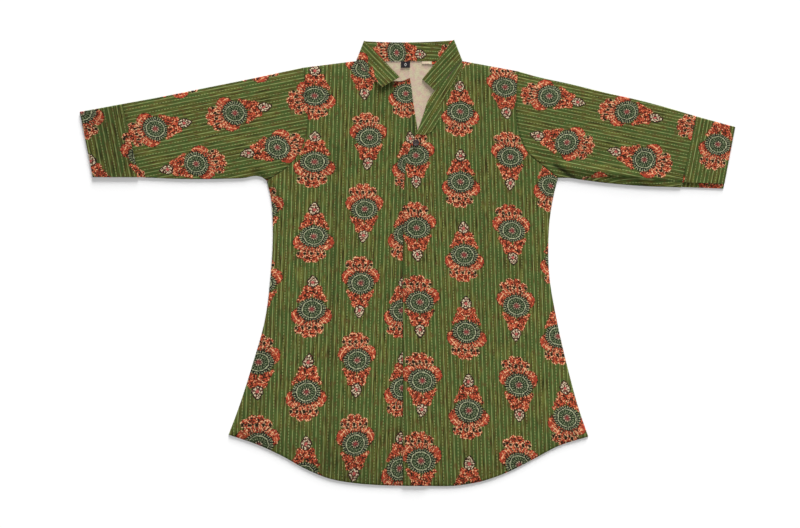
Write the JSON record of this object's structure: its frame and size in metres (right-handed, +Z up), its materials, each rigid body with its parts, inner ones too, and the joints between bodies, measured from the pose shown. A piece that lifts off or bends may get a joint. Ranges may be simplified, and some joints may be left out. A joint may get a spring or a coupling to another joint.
{
  "type": "kurta tunic laid flat",
  "caption": "Long-sleeved cotton kurta tunic laid flat on its back, with a stand collar, a lapped front that opens in a V, cuffs and a curved hem.",
  "frame": {"origin": "on the surface the tunic lies on, under the middle of its outline", "axes": "+X runs from cuff to cuff towards the right of someone looking down at it, +Y from hem to collar, +Z up off the surface"},
  "size_m": [1.084, 0.7382, 0.0083],
  "materials": {
    "printed_cotton": "matte woven cotton, green with pale stitched stripes and a red and dark block print",
    "label": "black woven tape",
    "button": "dark satin"
  },
  "bodies": {
    "root": {"back": "printed_cotton", "front_left": "printed_cotton", "front_right": "printed_cotton", "placket_facing": "printed_cotton", "sleeve_left": "printed_cotton", "sleeve_right": "printed_cotton", "cuff_left": "printed_cotton", "cuff_right": "printed_cotton", "collar_stand": "printed_cotton", "label": "label", "button": "button"}
  },
  "joints": []
}
